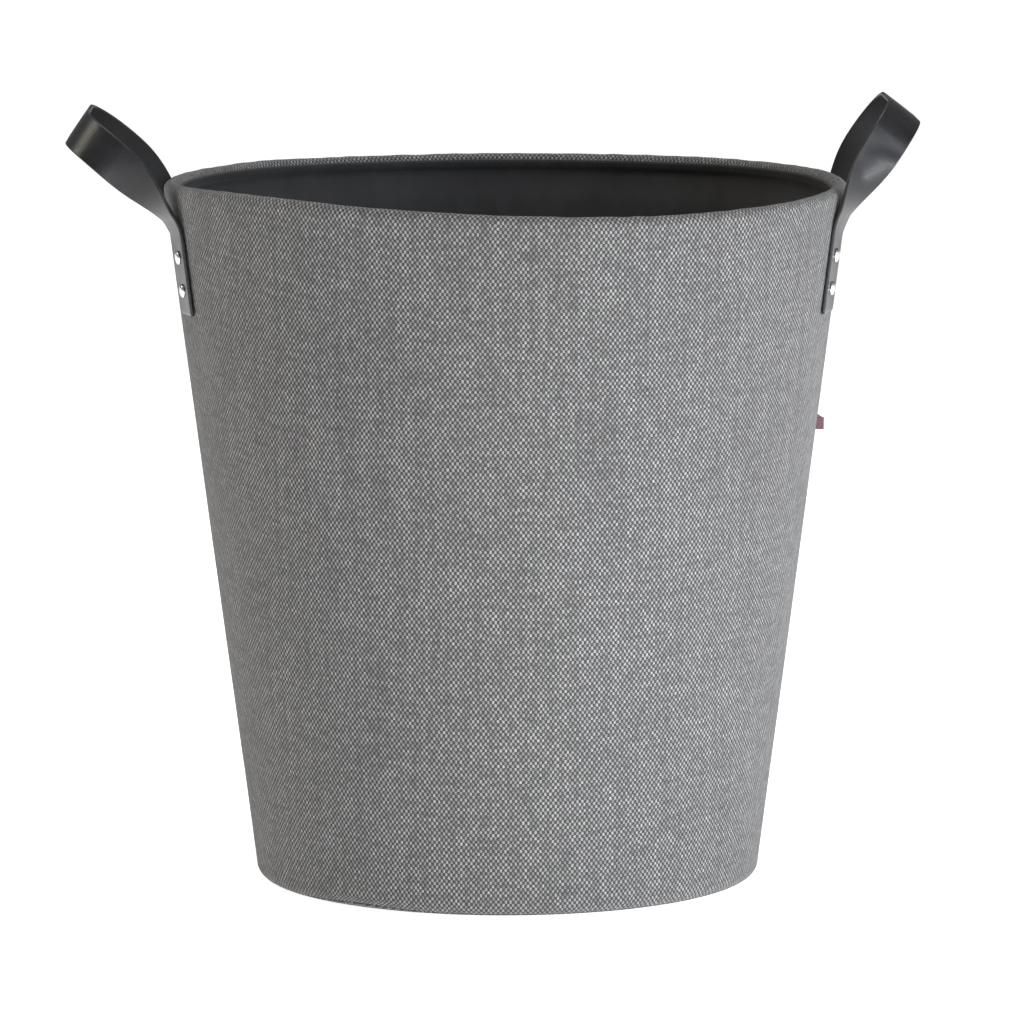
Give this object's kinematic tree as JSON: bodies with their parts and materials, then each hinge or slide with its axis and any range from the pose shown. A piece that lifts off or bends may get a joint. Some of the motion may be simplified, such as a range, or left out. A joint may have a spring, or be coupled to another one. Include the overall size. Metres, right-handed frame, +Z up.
{
  "type": "fabric storage bin",
  "caption": "Round, tapered fabric storage bin for laundry, toys or blankets: stiff board wall, woven cover, black lining, rolled rim and riveted leather strap handles that fold outwards.",
  "frame": {"origin": "centre of the underside, on the bin's vertical axis", "axes": "+Z up; the handles lie along X, the label on the +X side; -Y is the front"},
  "size_m": [0.496, 0.3986, 0.4584],
  "materials": {
    "woven_fabric": "coarse black and white plain weave, matte",
    "lining": "smooth black lining cloth, matte",
    "board": "plain grey-brown board",
    "hoop_plastic": "extruded rod",
    "leather": "black smooth leather, slight sheen",
    "rivet_steel": "nickel-plated, bright",
    "label": "folded woven ribbon, blank"
  },
  "bodies": {
    "root": {"outer_cover": "woven_fabric", "base_cover": "woven_fabric", "wall_board": "board", "base_board": "board", "rim_hoop": "hoop_plastic", "wall_lining": "lining", "base_lining": "lining", "side_label": "label", "left_front_leg": "leather", "left_rear_leg": "leather", "right_front_leg": "leather", "right_rear_leg": "leather", "left_front_rivets": "rivet_steel", "left_rear_rivets": "rivet_steel", "right_front_rivets": "rivet_steel", "right_rear_rivets": "rivet_steel", "left_front_rivet_caps": "rivet_steel", "left_rear_rivet_caps": "rivet_steel", "right_front_rivet_caps": "rivet_steel", "right_rear_rivet_caps": "rivet_steel"},
    "left_loop": {"left_handle_loop": "leather"},
    "right_loop": {"right_handle_loop": "leather"}
  },
  "joints": [
    {"name": "left_handle_fold", "type": "hinge", "parent": "root", "child": "left_loop", "pos_m": [-0.19068, 0, 0.38683], "axis": [0, -1, 0], "range_deg": [-18, 60], "stiffness_Nm_per_rad": 0.15, "springref_deg": -1.72},
    {"name": "right_handle_fold", "type": "hinge", "parent": "root", "child": "right_loop", "pos_m": [0.19068, 0, 0.38683], "axis": [0, 1, 0], "range_deg": [-9, 69], "stiffness_Nm_per_rad": 0.15, "springref_deg": -1.12}
  ]
}
